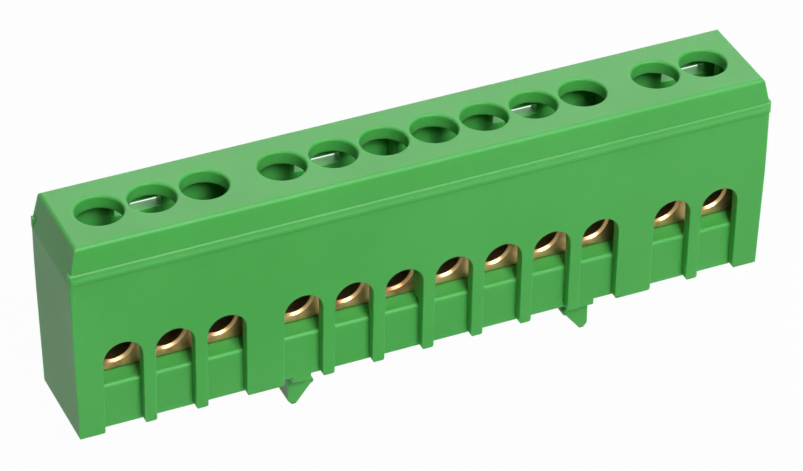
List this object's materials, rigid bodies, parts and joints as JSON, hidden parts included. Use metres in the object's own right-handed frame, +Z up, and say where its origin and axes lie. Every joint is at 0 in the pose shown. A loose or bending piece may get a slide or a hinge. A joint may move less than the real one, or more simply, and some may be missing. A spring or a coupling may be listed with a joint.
{
  "type": "earth terminal bar",
  "caption": "Rail-mounted earth terminal bar: a slotted moulded housing over a drilled brass bar, with a clamping screw above each wire bore and two snap hooks below.",
  "frame": {"origin": "middle of the rail seat: on the underside of the base, halfway between the two rail hooks and at mid-depth", "axes": "+X along the bar, from the group of three to the group of two; +Y from the wire side to the back; +Z up, towards the screwdriver holes"},
  "size_m": [0.0905, 0.0136, 0.0328],
  "materials": {
    "green_plastic": "moulded, satin, slightly translucent green",
    "brass_bar": "drawn bar, drilled, bright",
    "screw_steel": "zinc plated"
  },
  "bodies": {
    "bar": {"housing": "green_plastic", "base": "green_plastic", "busbar": "brass_bar"},
    "screw_01": {"terminal_screw_01": "screw_steel"},
    "screw_02": {"terminal_screw_02": "screw_steel"},
    "screw_03": {"terminal_screw_03": "screw_steel"},
    "screw_04": {"terminal_screw_04": "screw_steel"},
    "screw_05": {"terminal_screw_05": "screw_steel"},
    "screw_06": {"terminal_screw_06": "screw_steel"},
    "screw_07": {"terminal_screw_07": "screw_steel"},
    "screw_08": {"terminal_screw_08": "screw_steel"},
    "screw_09": {"terminal_screw_09": "screw_steel"},
    "screw_10": {"terminal_screw_10": "screw_steel"},
    "screw_11": {"terminal_screw_11": "screw_steel"},
    "screw_12": {"terminal_screw_12": "screw_steel"}
  },
  "joints": [
    {"name": "screw_01_travel", "type": "slide", "parent": "bar", "child": "screw_01", "axis": [0, 0, -1], "range_m": [0, 0.0037]},
    {"name": "screw_02_travel", "type": "slide", "parent": "bar", "child": "screw_02", "axis": [0, 0, -1], "range_m": [0, 0.0037]},
    {"name": "screw_03_travel", "type": "slide", "parent": "bar", "child": "screw_03", "axis": [0, 0, -1], "range_m": [0, 0.0037]},
    {"name": "screw_04_travel", "type": "slide", "parent": "bar", "child": "screw_04", "axis": [0, 0, -1], "range_m": [0, 0.0037]},
    {"name": "screw_05_travel", "type": "slide", "parent": "bar", "child": "screw_05", "axis": [0, 0, -1], "range_m": [0, 0.0037]},
    {"name": "screw_06_travel", "type": "slide", "parent": "bar", "child": "screw_06", "axis": [0, 0, -1], "range_m": [0, 0.0037]},
    {"name": "screw_07_travel", "type": "slide", "parent": "bar", "child": "screw_07", "axis": [0, 0, -1], "range_m": [0, 0.0037]},
    {"name": "screw_08_travel", "type": "slide", "parent": "bar", "child": "screw_08", "axis": [0, 0, -1], "range_m": [0, 0.0037]},
    {"name": "screw_09_travel", "type": "slide", "parent": "bar", "child": "screw_09", "axis": [0, 0, -1], "range_m": [0, 0.0037]},
    {"name": "screw_10_travel", "type": "slide", "parent": "bar", "child": "screw_10", "axis": [0, 0, -1], "range_m": [0, 0.0037]},
    {"name": "screw_11_travel", "type": "slide", "parent": "bar", "child": "screw_11", "axis": [0, 0, -1], "range_m": [0, 0.0037]},
    {"name": "screw_12_travel", "type": "slide", "parent": "bar", "child": "screw_12", "axis": [0, 0, -1], "range_m": [0, 0.0037]}
  ]
}
